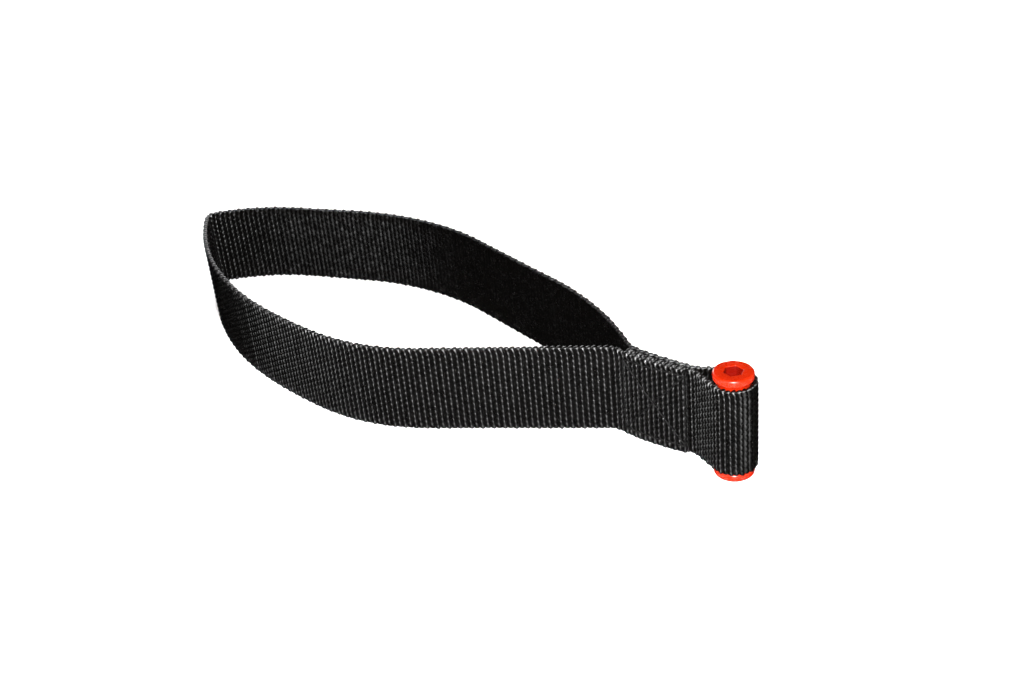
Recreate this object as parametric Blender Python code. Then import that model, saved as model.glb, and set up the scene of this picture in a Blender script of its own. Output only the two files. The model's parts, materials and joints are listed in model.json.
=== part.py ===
"""Strap wrench: a webbing loop with a sewn tab whose sleeve carries a hex-drive winding spool.

Lengths are in metres, angles in degrees, +Z is up and the spool axis is vertical. Every run of webbing
follows a plan path of straights and arcs. A bend where the webbing flexes is an upright pivot: one run
ends in a round nose on the pivot and its neighbour in a cup around that nose.
"""
import bpy
import bmesh
from math import asin, atan2, cos, degrees, hypot, pi, radians, sin, sqrt, tan
from mathutils import Vector

# ---- webbing ----
WEB_WIDTH = 0.0381
WEB_THICK = 0.0023
PLY_GAP = 0.0003
PLY_PITCH = WEB_THICK + PLY_GAP
SELVEDGE_DROP = 0.0004
NOSE_R = 0.55 * WEB_THICK
CUP_R = NOSE_R + PLY_GAP
COLUMNS = (-1.0, -0.6, 0.0, 0.6, 1.0)
CHORD_ERROR = 0.00003
MAX_TURN_STEP = 9.0

# ---- plan position of the fork, which centres the whole part on the origin ----
FORK = (0.06704, -0.06197)

# ---- loop: heading of the front run at the fork, bends as (radius, turn) in travel order ----
FRONT_HEADING = 170.0
RIGHT_HEADING = -79.0
FRONT_BEND = (0.087, -33.5)
LEFT_SWEEPS = ((0.285, -7.0), (0.170, -37.0))
TIGHT_BEND = (0.0045, -84.0)
BACK_SWEEP = (0.082, -29.5)
BACK_STRAIGHT = 0.030
BACK_BEND = (0.123, -20.0)
RIGHT_SWEEP = (0.124, -14.0)
FORK_SWEEP = (0.157, -24.0)
FRONT_PIVOT_SHARE = 0.45
BACK_PIVOT_SHARE = 0.60
SEAM_SHARE = 0.60

# ---- tab: the sewn stack of three plies between the fork and the sleeve ----
TAB_HEADING = -56.0
TAB_PIECES = ((0.01295, 9.0), (0.0215, 5.5))
FORK_R = 0.006
BACK_PLY_FILLET_R = 0.008
BACK_PLY_JOIN = 0.0016
MIDDLE_END_INSET = 0.0020
FRONT_END_INSET = 0.0022
STACK_NOSE_R = PLY_PITCH / 2 + WEB_THICK / 2 + 0.0001
STACK_CUP_R = STACK_NOSE_R + PLY_GAP

# ---- sleeve and spool ----
SPOOL_CENTRE = (FORK[0] + 0.0392, FORK[1] - 0.0355)
SPOOL_HEIGHT = 0.0438
FLANGE_R = 0.0076
FLANGE_THICK = 0.0031
FLANGE_ROUND = 0.0009
BARREL_R = 0.0064
BARREL_FILLET = 0.0004
SLEEVE_GAP = 0.00035
SLEEVE_R = BARREL_R + SLEEVE_GAP + WEB_THICK / 2
SLEEVE_WIDTH = 0.0370
SLEEVE_BASE = 0.0034
HEX_FLATS = 0.0065
HEX_CORNER_ANGLE = 4.0
HEX_CHAMFER = 0.0003
PER_HEX_SIDE = 8
ROUND_STEPS = 4

# ---- thread: box-and-cross lockstitch through the tab ----
THREAD_WIDE = 0.0007
THREAD_HIGH = 0.0004
THREAD_CLEAR = 0.00012
BOX_START = 0.0030
BOX_END = 0.0322
BOX_EDGE_INSET = 0.0035
CROSS_CLEAR = 0.0006
THREAD_CUT_STEP = 0.004

WEB_COLOUR = (0.012, 0.012, 0.013, 1.0)
THREAD_COLOUR = (0.008, 0.008, 0.009, 1.0)
SPOOL_COLOUR = (0.82, 0.055, 0.012, 1.0)


def clear_scene():
    for obj in list(bpy.data.objects):
        bpy.data.objects.remove(obj, do_unlink=True)


def material(name, colour, roughness):
    mat = bpy.data.materials.new(name)
    mat.use_nodes = True
    shader = mat.node_tree.nodes["Principled BSDF"]
    shader.inputs["Base Color"].default_value = colour
    shader.inputs["Roughness"].default_value = roughness
    shader.inputs["Metallic"].default_value = 0.0
    mat.diffuse_color = colour
    return mat


def add_mesh(name, mesh_bm, mat, origin=(0.0, 0.0)):
    """Turns the mesh into an object whose origin stands at the given plan point."""
    bmesh.ops.recalc_face_normals(mesh_bm, faces=mesh_bm.faces)
    if mesh_bm.calc_volume(signed=True) < 0:
        bmesh.ops.reverse_faces(mesh_bm, faces=mesh_bm.faces)
    bmesh.ops.translate(mesh_bm, verts=mesh_bm.verts, vec=(-origin[0], -origin[1], 0.0))
    mesh = bpy.data.meshes.new(name)
    mesh_bm.to_mesh(mesh)
    mesh_bm.free()
    obj = bpy.data.objects.new(name, mesh)
    obj.location = (origin[0], origin[1], 0.0)
    bpy.context.collection.objects.link(obj)
    mesh.materials.append(mat)
    mesh.shade_smooth()
    mesh.set_sharp_from_angle(angle=radians(35))
    return obj


# ---- plan paths: a path is a start point, a start heading and (length, turn) pieces ----

def step(point, heading, length, turn):
    """Moves along one straight or arc; heading and turn in radians."""
    if abs(turn) < 1e-9:
        return (point[0] + length * cos(heading), point[1] + length * sin(heading))
    radius = length / turn
    return (point[0] + radius * (sin(heading + turn) - sin(heading)),
            point[1] + radius * (cos(heading) - cos(heading + turn)))


def arc(radius, turn):
    return (radius * abs(radians(turn)), turn)


def offset_pieces(pieces, lateral):
    """Pieces of the path that runs parallel at a distance to the left."""
    return tuple((length - lateral * radians(turn), turn) for length, turn in pieces)


def path_length(path):
    return sum(length for length, turn in path[2])


def plan_at(path, travel):
    """Plan point and heading (radians) after some travel; straight on beyond either end."""
    point, heading, pieces = path[0], radians(path[1]), path[2]
    if travel < 0:
        return step(point, heading, travel, 0.0), heading
    for length, turn in pieces:
        bend = radians(turn)
        if travel <= length:
            share = travel / length if length else 0.0
            return step(point, heading, travel, bend * share), heading + bend * share
        point = step(point, heading, length, bend)
        heading += bend
        travel -= length
    return step(point, heading, travel, 0.0), heading


def side_point(path, travel, lateral):
    (x, y), heading = plan_at(path, travel)
    return (x - lateral * sin(heading), y + lateral * cos(heading))


def end_of(path):
    return plan_at(path, path_length(path))


def turn_steps(length, turn):
    """Steps that keep a bend's chords close to its arc."""
    if turn == 0:
        return 1
    bend = abs(radians(turn))
    allowed = min(radians(MAX_TURN_STEP), sqrt(8 * CHORD_ERROR * bend / length))
    return max(1, round(bend / allowed + 0.3))


def stations(path, start, stop):
    """Travels that follow every bend in small turns."""
    marks, travelled = [start], 0.0
    for length, turn in path[2]:
        count = turn_steps(length, turn)
        for i in range(1, count + 1):
            mark = travelled + length * i / count
            if start + WEB_THICK / 2 < mark < stop - WEB_THICK / 2:
                marks.append(mark)
        travelled += length
    return marks + [stop]


def travel_on_circle(path, lateral, centre, radius, low, high):
    """Travel at which a side line of the path lies on a circle, between two travels."""
    def excess(travel):
        x, y = side_point(path, travel, lateral)
        return hypot(x - centre[0], y - centre[1]) - radius
    rising = excess(high) > excess(low)
    for _ in range(48):
        middle = (low + high) / 2
        if (excess(middle) < 0) == rising:
            low = middle
        else:
            high = middle
    return (low + high) / 2


# ---- webbing solids ----

def flat_band(travel):
    """Height of the lower edge, and width, of webbing that stands on the ground plane."""
    return 0.0, WEB_WIDTH


def square_end(travel):
    return lambda path, lateral: travel


def round_end(centre, radius, low, high):
    """An end cut on a circle about a pivot: a nose or a cup."""
    return lambda path, lateral: travel_on_circle(path, lateral, centre, radius, low, high)


def webbing(path, band, start, stop, lateral=0.0):
    """One closed run of webbing along a path. start and stop give the travel of each end
    for a side line; band gives the lower edge and the width at a travel."""
    bm = bmesh.new()
    sides = [lateral + share * WEB_THICK / 2 for share in COLUMNS]
    starts = [start(path, side) for side in sides]
    stops = [stop(path, side) for side in sides]
    centre_column = len(COLUMNS) // 2
    marks = stations(path, starts[centre_column], stops[centre_column])
    span = marks[-1] - marks[0]
    lower, upper = [], []
    for mark in marks:
        share = (mark - marks[0]) / span
        low_row, high_row = [], []
        for column, side in enumerate(sides):
            ease_in = max(0.0, 1 - share * span / WEB_THICK)
            ease_out = max(0.0, 1 - (1 - share) * span / WEB_THICK)
            travel = mark + ease_in * (starts[column] - marks[0]) + ease_out * (stops[column] - marks[-1])
            x, y = side_point(path, travel, side)
            base, width = band(mark)
            drop = SELVEDGE_DROP * COLUMNS[column] ** 2
            low_row.append(bm.verts.new((x, y, base + drop)))
            high_row.append(bm.verts.new((x, y, base + width - drop)))
        lower.append(low_row)
        upper.append(high_row)
    skin_between(bm, lower, upper)
    return bm


def skin_between(bm, lower, upper):
    """Closes two equal grids of vertices into one solid."""
    rows, columns = len(lower), len(lower[0])
    for grid in (lower, upper):
        for i in range(rows - 1):
            for j in range(columns - 1):
                bm.faces.new((grid[i][j], grid[i + 1][j], grid[i + 1][j + 1], grid[i][j + 1]))
    for j in (0, columns - 1):
        for i in range(rows - 1):
            bm.faces.new((lower[i][j], lower[i + 1][j], upper[i + 1][j], upper[i][j]))
    for i in (0, rows - 1):
        for j in range(columns - 1):
            bm.faces.new((lower[i][j], lower[i][j + 1], upper[i][j + 1], upper[i][j]))


# ---- layout of the tab, the sleeve and the loop ----

def unit(heading):
    return (cos(radians(heading)), sin(radians(heading)))


def fork_tangent():
    """Distance from the fork corner to each end of the front ply's fillet."""
    return FORK_R * tan(radians(FRONT_HEADING - TAB_HEADING - 180.0) / 2)


def front_pivot():
    return step(FORK, radians(FRONT_HEADING), fork_tangent(), 0.0)


def tab_start():
    return step(FORK, radians(TAB_HEADING), fork_tangent(), 0.0)


def tab_core():
    """The front ply's line from the fork fillet to the crease."""
    return (tab_start(), TAB_HEADING, TAB_PIECES)


def tab_ply(number):
    """The line of a ply: 0 front, 1 middle, 2 back."""
    lateral = number * PLY_PITCH
    return (side_point(tab_core(), 0.0, lateral), TAB_HEADING, offset_pieces(TAB_PIECES, lateral))


def front_ply_path():
    turn = TAB_HEADING - (FRONT_HEADING - 180.0)
    return (front_pivot(), FRONT_HEADING - 180.0, (arc(FORK_R, turn),) + TAB_PIECES)


def back_ply_path():
    """The back ply, starting with the fillet that turns it out of the right run."""
    ply = tab_ply(2)
    fillet = arc(BACK_PLY_FILLET_R, TAB_HEADING - RIGHT_HEADING)
    join, _ = plan_at(ply, BACK_PLY_JOIN)
    dx, dy = step((0.0, 0.0), radians(RIGHT_HEADING), fillet[0], radians(fillet[1]))
    first = (ply[2][0][0] - BACK_PLY_JOIN, ply[2][0][1])
    return ((join[0] - dx, join[1] - dy), RIGHT_HEADING, (fillet, first) + ply[2][1:])


def right_pivot():
    return back_ply_path()[0]


def crease_pivot():
    core = tab_core()
    return side_point(core, path_length(core), 1.5 * PLY_PITCH)


def tangent_to_sleeve(point, side):
    """Heading (degrees) and length of the straight from a point onto the sleeve's round."""
    dx, dy = SPOOL_CENTRE[0] - point[0], SPOOL_CENTRE[1] - point[1]
    reach = hypot(dx, dy)
    return degrees(atan2(dy, dx) + side * asin(SLEEVE_R / reach)), sqrt(reach ** 2 - SLEEVE_R ** 2)


def sleeve_path():
    """From the crease along the middle ply, round the spool and back to the crease."""
    front_start, _ = end_of(tab_ply(1))
    back_start, _ = end_of(tab_ply(2))
    heading_in, length_in = tangent_to_sleeve(front_start, -1)
    heading_out, length_out = tangent_to_sleeve(back_start, 1)
    wrap = heading_out + 180.0 - heading_in
    return (front_start, heading_in, ((length_in, 0.0), arc(SLEEVE_R, wrap), (length_out, 0.0)))


def tab_reach():
    """Travel from the fork fillet to the sleeve's round, over which the webbing rises and narrows."""
    return path_length(tab_core()) + sleeve_path()[2][0][0]


def rising_band(offset=0.0):
    """Webbing that rises from the ground plane to the sleeve's height as it narrows."""
    def band(travel):
        share = min(1.0, max(0.0, (travel + offset) / tab_reach()))
        return SLEEVE_BASE * share, WEB_WIDTH + (SLEEVE_WIDTH - WEB_WIDTH) * share
    return band


def sleeve_band(travel):
    path = sleeve_path()
    nearest_end = min(travel, path_length(path) - travel)
    return rising_band(path_length(tab_core()))(nearest_end)


def loop_pieces(front_straight, right_straight):
    return ((front_straight, 0.0), arc(*FRONT_BEND), arc(*LEFT_SWEEPS[0]), arc(*LEFT_SWEEPS[1]),
            arc(*TIGHT_BEND), arc(*BACK_SWEEP), (BACK_STRAIGHT, 0.0), arc(*BACK_BEND),
            arc(*RIGHT_SWEEP), (right_straight, 0.0), arc(*FORK_SWEEP))


def loop_path():
    """The loop; its two long straights are solved so that it closes on the fork."""
    start, goal = front_pivot(), right_pivot()
    open_end, _ = end_of((start, FRONT_HEADING, loop_pieces(0.0, 0.0)))
    gx, gy = goal[0] - open_end[0], goal[1] - open_end[1]
    ax, ay = unit(FRONT_HEADING)
    bx, by = unit(RIGHT_HEADING - FORK_SWEEP[1])
    det = ax * by - ay * bx
    return (start, FRONT_HEADING, loop_pieces((gx * by - gy * bx) / det, (ax * gy - ay * gx) / det))


def loop_marks():
    """Travels of the flexing points and of the seam between the two halves of the linkage."""
    pieces = loop_path()[2]
    run = [0.0]
    for length, _ in pieces:
        run.append(run[-1] + length)
    return {
        "front": 0.0,
        "bend": run[1] + FRONT_PIVOT_SHARE * pieces[1][0],
        "tip": run[4] + pieces[4][0] / 2,
        "seam": run[6] + SEAM_SHARE * pieces[6][0],
        "back": run[7] + BACK_PIVOT_SHARE * pieces[7][0],
        "right": run[-1],
    }


def pivot_at(mark):
    return plan_at(loop_path(), loop_marks()[mark])[0]


# ---- sub-parts ----

def loop_run(name, first, last, hinge, mat, first_cup, last_cup):
    """A run of the loop between two marks, with its origin on the one it is hinged at; each end
    is a nose, a cup or the square seam."""
    marks = loop_marks()
    bounds = (marks[first], marks[last])
    reach = 2 * WEB_THICK
    ends = []
    for mark, travel, cup, inward in ((first, bounds[0], first_cup, 1), (last, bounds[1], last_cup, -1)):
        if cup is None:
            ends.append(square_end(travel + inward * PLY_GAP / 2))
            continue
        radius = CUP_R if cup else NOSE_R
        toward = inward if cup else -inward
        far = travel + toward * reach
        ends.append(round_end(pivot_at(mark), radius, min(travel, far), max(travel, far)))
    add_mesh(name, webbing(loop_path(), flat_band, ends[0], ends[1]), mat, pivot_at(hinge))


def make_loop(mat):
    loop_run("strap_front_run", "front", "bend", "front", mat, False, False)
    loop_run("strap_left_run", "bend", "tip", "bend", mat, True, False)
    loop_run("strap_back_run_left", "tip", "seam", "tip", mat, True, None)
    loop_run("strap_back_run_right", "seam", "back", "back", mat, None, False)
    loop_run("strap_right_run", "back", "right", "right", mat, True, False)


def make_tab(mat):
    front = front_ply_path()
    fillet = front[2][0][0]
    reach = 2 * WEB_THICK
    cup = round_end(front_pivot(), CUP_R, 0.0, reach)
    cut = square_end(path_length(front) - FRONT_END_INSET)
    add_mesh("strap_tab_front_ply", webbing(front, rising_band(-fillet), cup, cut), mat)

    middle = tab_ply(1)
    nose = round_end(crease_pivot(), STACK_NOSE_R, path_length(middle), path_length(middle) + reach)
    cut = square_end(MIDDLE_END_INSET)
    add_mesh("strap_tab_middle_ply", webbing(middle, rising_band(), cut, nose), mat)

    back = back_ply_path()
    nose = round_end(crease_pivot(), STACK_NOSE_R, path_length(back), path_length(back) + reach)
    cup = round_end(right_pivot(), CUP_R, 0.0, reach)
    add_mesh("strap_tab_back_ply", webbing(back, rising_band(-back[2][0][0]), cup, nose), mat)


def make_sleeve(mat):
    path = sleeve_path()
    total = path_length(path)
    first = round_end(crease_pivot(), STACK_CUP_R, 0.0, 2 * WEB_THICK)
    last = round_end(crease_pivot(), STACK_CUP_R, total - 2 * WEB_THICK, total)
    add_mesh("strap_sleeve", webbing(path, sleeve_band, first, last), mat, crease_pivot())


def quarter_round(centre_r, centre_z, radius, start, stop):
    """Radius and height points on an arc of a turned profile; angles in degrees from outward."""
    points = []
    for i in range(ROUND_STEPS + 1):
        angle = radians(start + (stop - start) * i / ROUND_STEPS)
        points.append((centre_r + radius * cos(angle), centre_z + radius * sin(angle)))
    return points


def spool_profile():
    """Outer profile from the lower face's rim to the upper face's rim."""
    rim = FLANGE_R - FLANGE_ROUND
    top = SPOOL_HEIGHT
    neck_low = FLANGE_THICK
    neck_high = top - FLANGE_THICK
    soft = BARREL_R + BARREL_FILLET
    profile = quarter_round(rim, FLANGE_ROUND, FLANGE_ROUND, -90, 0)
    profile += quarter_round(rim, neck_low - FLANGE_ROUND, FLANGE_ROUND, 0, 90)
    profile += quarter_round(soft, neck_low + BARREL_FILLET, BARREL_FILLET, 270, 180)
    profile += quarter_round(soft, neck_high - BARREL_FILLET, BARREL_FILLET, 180, 90)
    profile += quarter_round(rim, neck_high + FLANGE_ROUND, FLANGE_ROUND, -90, 0)
    profile += quarter_round(rim, top - FLANGE_ROUND, FLANGE_ROUND, 0, 90)
    return profile


def ring(bm, height, radius_at):
    count = 6 * PER_HEX_SIDE
    verts = []
    for i in range(count):
        angle = radians(HEX_CORNER_ANGLE) + 2 * pi * i / count
        radius = radius_at(i)
        x = SPOOL_CENTRE[0] + radius * cos(angle)
        y = SPOOL_CENTRE[1] + radius * sin(angle)
        verts.append(bm.verts.new((x, y, height)))
    return verts


def hexagon(flats):
    """Radius of a hexagon at each ring vertex; every side starts on a corner."""
    def radius_at(i):
        along = (i % PER_HEX_SIDE) / PER_HEX_SIDE * pi / 3
        return flats / 2 / cos(along - pi / 6)
    return radius_at


def make_spool(mat):
    bm = bmesh.new()
    wide = hexagon(HEX_FLATS + 2 * HEX_CHAMFER)
    narrow = hexagon(HEX_FLATS)
    rings = [ring(bm, HEX_CHAMFER, narrow), ring(bm, 0.0, wide)]
    for radius, height in spool_profile():
        rings.append(ring(bm, height, lambda i, r=radius: r))
    rings.append(ring(bm, SPOOL_HEIGHT, wide))
    rings.append(ring(bm, SPOOL_HEIGHT - HEX_CHAMFER, narrow))
    count = len(rings[0])
    for k in range(len(rings)):
        a, b = rings[k], rings[(k + 1) % len(rings)]
        for i in range(count):
            j = (i + 1) % count
            bm.faces.new((a[i], a[j], b[j], b[i]))
    bmesh.ops.remove_doubles(bm, verts=bm.verts, dist=1e-7)
    add_mesh("spool", bm, mat, SPOOL_CENTRE)


def box_outline():
    """Seam rectangle on the tab face: travel limits, then limits of height within the webbing."""
    return BOX_START, BOX_END, BOX_EDGE_INSET, WEB_WIDTH - BOX_EDGE_INSET


def ring_plate(bm):
    """The box seam as a flat frame in travel and height."""
    s0, s1, z0, z1 = box_outline()
    w = THREAD_WIDE
    outer = [bm.verts.new((s, 0.0, z)) for s, z in ((s0, z0), (s1, z0), (s1, z1), (s0, z1))]
    inner = [bm.verts.new((s, 0.0, z)) for s, z in
             ((s0 + w, z0 + w), (s1 - w, z0 + w), (s1 - w, z1 - w), (s0 + w, z1 - w))]
    for i in range(4):
        j = (i + 1) % 4
        bm.faces.new((outer[i], outer[j], inner[j], inner[i]))


def cross_plate(bm):
    """The cross seam as a flat X of two strips that share the middle."""
    s0, s1, z0, z1 = box_outline()
    margin = THREAD_WIDE + CROSS_CLEAR
    mid_s, mid_z = (s0 + s1) / 2, (z0 + z1) / 2
    half = Vector(((s1 - s0) / 2 - margin, (z1 - z0) / 2 - margin))
    lean = atan2(half.y, half.x)
    reach = half.length - THREAD_WIDE
    notch_s = THREAD_WIDE / 2 / sin(lean)
    notch_z = THREAD_WIDE / 2 / cos(lean)
    middle = [bm.verts.new((mid_s + s, 0.0, mid_z + z)) for s, z in
              ((notch_s, 0.0), (0.0, notch_z), (-notch_s, 0.0), (0.0, -notch_z))]
    bm.faces.new(middle)
    for k, angle in enumerate((lean, pi - lean, pi + lean, -lean)):
        along = Vector((cos(angle), sin(angle))) * reach
        across = Vector((-sin(angle), cos(angle))) * THREAD_WIDE / 2
        tips = [bm.verts.new((mid_s + p.x, 0.0, mid_z + p.y)) for p in (along - across, along + across)]
        bm.faces.new((middle[k], tips[0], tips[1], middle[(k + 1) % 4]))


def thread_seam(name, plate, face_lateral, outward, mat):
    """A seam laid on a face of the tab stack, standing just clear of the webbing."""
    bm = bmesh.new()
    plate(bm)
    solid = bmesh.ops.extrude_face_region(bm, geom=list(bm.faces))
    raised = [v for v in solid["geom"] if isinstance(v, bmesh.types.BMVert)]
    bmesh.ops.translate(bm, verts=raised, vec=(0.0, THREAD_HIGH, 0.0))
    cut = BOX_START + THREAD_CUT_STEP
    while cut < BOX_END:
        geom = list(bm.verts) + list(bm.edges) + list(bm.faces)
        bmesh.ops.bisect_plane(bm, geom=geom, plane_co=(cut, 0.0, 0.0), plane_no=(1.0, 0.0, 0.0))
        cut += THREAD_CUT_STEP
    band = rising_band()
    for vert in bm.verts:
        travel, height = vert.co.x, vert.co.z
        lateral = face_lateral + outward * (THREAD_CLEAR + vert.co.y)
        x, y = side_point(tab_core(), travel, lateral)
        base, width = band(travel)
        vert.co = (x, y, base + height * width / WEB_WIDTH)
    add_mesh(name, bm, mat)


def make_thread(mat):
    front_face = -WEB_THICK / 2
    back_face = 2 * PLY_PITCH + WEB_THICK / 2
    thread_seam("thread_box_front", ring_plate, front_face, -1, mat)
    thread_seam("thread_cross_front", cross_plate, front_face, -1, mat)
    thread_seam("thread_box_back", ring_plate, back_face, 1, mat)
    thread_seam("thread_cross_back", cross_plate, back_face, 1, mat)


def main():
    clear_scene()
    web = material("webbing", WEB_COLOUR, 0.75)
    thread = material("thread", THREAD_COLOUR, 0.6)
    plastic = material("spool_plastic", SPOOL_COLOUR, 0.3)
    make_loop(web)
    make_tab(web)
    make_sleeve(web)
    make_spool(plastic)
    make_thread(thread)


main()
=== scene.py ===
"""Looks of the strap wrench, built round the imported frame.

Metres and degrees, +Z up. The strap is one continuous woven band. It starts at the front ply's cut end by
the crease, runs back to the fork, round the loop, along the back ply, round the spool and back along the
middle ply. Travel along it, height across it and its outer or inner face place everything that is on it.
"""
import json
from math import asin, atan2, cos, degrees, hypot, pi, radians, sin, sqrt

import bpy
import numpy as np
from mathutils import Matrix, Vector


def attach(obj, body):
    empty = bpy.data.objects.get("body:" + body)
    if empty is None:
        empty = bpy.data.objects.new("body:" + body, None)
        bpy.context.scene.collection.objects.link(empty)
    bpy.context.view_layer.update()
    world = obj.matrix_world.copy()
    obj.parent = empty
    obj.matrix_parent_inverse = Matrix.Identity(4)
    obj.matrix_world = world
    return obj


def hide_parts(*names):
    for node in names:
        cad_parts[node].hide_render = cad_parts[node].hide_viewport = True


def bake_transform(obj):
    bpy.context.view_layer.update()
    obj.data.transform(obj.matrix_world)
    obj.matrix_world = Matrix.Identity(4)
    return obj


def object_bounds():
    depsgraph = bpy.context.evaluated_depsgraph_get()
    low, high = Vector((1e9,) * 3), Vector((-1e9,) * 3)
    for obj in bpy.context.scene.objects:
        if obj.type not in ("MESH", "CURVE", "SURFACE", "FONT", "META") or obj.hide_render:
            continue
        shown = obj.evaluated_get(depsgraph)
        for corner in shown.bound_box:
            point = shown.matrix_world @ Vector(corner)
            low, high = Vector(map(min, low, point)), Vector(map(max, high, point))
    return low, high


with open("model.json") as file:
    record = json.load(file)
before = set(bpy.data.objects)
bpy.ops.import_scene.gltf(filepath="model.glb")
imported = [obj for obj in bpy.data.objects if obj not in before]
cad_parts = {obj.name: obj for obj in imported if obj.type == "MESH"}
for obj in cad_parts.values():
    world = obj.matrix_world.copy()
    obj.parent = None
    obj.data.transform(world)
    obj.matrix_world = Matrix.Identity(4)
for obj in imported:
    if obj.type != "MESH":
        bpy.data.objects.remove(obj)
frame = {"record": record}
cad_low, cad_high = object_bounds()

JOINTS = {joint["name"]: joint for joint in frame["record"]["behaviour"]["joints"]}

# ---- strap: the same driving dimensions as the frame's runs ----
WEB_WIDTH = 0.0381
WEB_THICK = 0.0023
PLY_PITCH = 0.0026
FRONT_HEADING = 170.0
RIGHT_HEADING = -79.0
TAB_HEADING = -56.0
FRONT_BEND = (0.087, -33.5)
LEFT_SWEEPS = ((0.285, -7.0), (0.170, -37.0))
TIGHT_BEND = (0.0045, -84.0)
BACK_SWEEP = (0.082, -29.5)
BACK_STRAIGHT = 0.030
BACK_BEND = (0.123, -20.0)
RIGHT_SWEEP = (0.124, -14.0)
FORK_SWEEP = (0.157, -24.0)
SEAM_SHARE = 0.60
TAB_PIECES = ((0.01295, 9.0), (0.0215, 5.5))
FORK_R = 0.006
BACK_PLY_FILLET_R = 0.008
BACK_PLY_JOIN = 0.0016
MIDDLE_END_INSET = 0.0020
FRONT_END_INSET = 0.0022
SLEEVE_R = 0.0079
SLEEVE_WIDTH = 0.0370
SLEEVE_BASE = 0.0034
TRACE_STEP = 0.00025
SOFTEN = 0.0036
STRAIGHT_TURN = 1e-9
PIECES_BEFORE_BACK_STRAIGHT = 6

# ---- weave ----
LOOP_RIB = 0.00228
TAB_RIB = 0.00240
SLEEVE_RIB = 0.00198
RIB_STATIONS = (0.0, 0.053, 0.17, 0.31, 0.46, 0.63, 0.84)
RIB_LEAN = 0.72
COUNT_SLACK = 1e-6
CROWNS = 15
ROWS_PER_CROWN = 6
FACE_ROWS = CROWNS * ROWS_PER_CROWN + 1
EDGE_ROWS = 5
EDGE_ROUND = 0.0009
RIB_DEPTH = 0.00082
RIB_ARC = 1.2
CROWN_DEPTH = 0.00028
CROWN_ROUNDNESS = 0.7
CROWN_SLIDE = -0.085
HOOK_REACH = 0.0045
TOP_HOOK = 0.40
BOTTOM_HOOK = -0.22
HOOK_LIMIT = 1.2
UNEVEN_SEED = 11
UNEVEN_RIBS = 512
UNEVEN_DEPTH = 0.00005
EDGE_WAVE = 0.00012
LONG_WAVE = 0.031
SHORT_WAVE = 0.0117
CUT_TAPER = 0.0010
CUT_THIN = 0.35
CUT_LIFT = 0.0010
CUT_LIFT_REACH = 0.030
CUT_LIFT_POWER = 1.5
TONGUE_INSET = 0.0002
TONGUE_REACH = 0.0022
FORK_SEARCH = 0.060

# ---- bend reaches: how far each reaches before and after its joint's axis; no piece is bent by them ----
FORK_FRONT_REACH = (0.003, 0.006)
LOOP_REACH = (0.015, 0.015)
TIP_REACH = (0.006, 0.006)
FORK_RIGHT_REACH = (0.007, 0.003)
CREASE_BACK_REACH = (0.002, 0.005)
CREASE_MIDDLE_REACH = (0.005, 0.002)

# ---- attributes of the weave that its material reads ----
PLACE_SCALE = 1000.0
SIDE_SCALE = 10.0
FACE_SIDE = 9.9
YARN_MAP = "yarns"
MAP_SPAN = 1000.0

# ---- stitching: a box with a cross in it ----
BOX_START = 0.0030
BOX_END = 0.0322
BOX_INSET = 0.0035
STITCH_LENGTH = 0.0046
STITCH_R = 0.00030
STITCH_LIFT = 0.00012
STITCH_SINK = 0.00055
STITCH_SIDES = 8
STITCH_STEPS = 9
STITCH_DIP_POWER = 5
STITCH_TAPER = 0.35
STITCH_WANDER = 0.00012
NEVER_ALONG_A_STITCH = (0.31, 0.17, 0.93)
SEAM_PRESS = 0.00028
SEAM_HALF_WIDTH = 0.0007

# ---- spool ----
SPOOL_HEIGHT = cad_high.z
FLANGE_R = 0.0076
FLANGE_THICK = 0.0031
FLANGE_ROUND = 0.0009
BARREL_R = 0.0064
BARREL_FILLET = 0.0004
HEX_FLATS = 0.0065
HEX_CORNER_ANGLE = 4.0
HEX_MOUTH = 0.0003
HEX_CORNER_EASE = 0.00012
MOUTH_STEPS = 5
PER_HEX_SIDE = 28
ROUND_STEPS = 10
SPOOL_SHARP_ANGLE = 28.0

# ---- materials: a grain is a noise's stretch, scale and detail ----
NOISE_RANGE = (0.3, 0.7)
YARN_GRAIN = ((0.9, 5.0, 1.0), 1.6, 3.0)
FILAMENT_GRAIN = ((0.5, 9.0, 1.0), 2.4, 2.0)
TINT_GRAIN = ((0.45, 0.9, 1.0), 1.1, 3.0)
PATCH_SCALE = 0.42
WEB_COLOURS = ((0.0004, 0.0004, 0.0005, 1), (0.0010, 0.0010, 0.0009, 1))
WEB_WARM = (0.0015, 0.0012, 0.0010, 1)
WEB_ROUGHNESS = (0.25, 0.40)
WEB_SPECULAR = 0.9
WEB_ANISOTROPY = 0.88
INNER_DULL = -0.10
EDGE_DULL = 0.12
YARN_BUMP = 0.00003
FILAMENT_BUMP = 0.00002
THREAD_COLOURS = ((0.003, 0.003, 0.0035, 1), (0.009, 0.0085, 0.008, 1))
THREAD_ROUGHNESS = (0.48, 0.62)
THREAD_SPECULAR = 0.2
THREAD_SHADE_SCALE = 700.0
TWIST_SCALE = 900.0
TWIST_DISTORTION = 1.5
TWIST_BUMP = 0.00008
SPOOL_COLOURS = ((0.37, 0.012, 0.001, 1), (0.42, 0.016, 0.002, 1))
# painted shade: a darker red inside the hex bore stands in for the shade there
BORE_SHADE_COLOUR = (0.16, 0.003, 0.001, 1)
SPOOL_ROUGHNESS = (0.20, 0.34)
SPOOL_SPECULAR = 0.5
SPOOL_SUBSURFACE = 0.03
SPOOL_SUBSURFACE_RADIUS = (0.002, 0.0006, 0.0003)
FLOW_SCALE = 160.0
SCUFF_GRAIN = ((1.0, 1.0, 3.0), 420.0, 6.0)
PEEL_SCALE = 900.0
PEEL_DETAIL = 1.0
PEEL_BUMP = 0.00002
FLOOR_COLOURS = ((0.93, 0.93, 0.93, 1), (0.95, 0.95, 0.95, 1))
FLOOR_ROUGHNESS = 0.9
FLOOR_SPECULAR = 0.1
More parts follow.
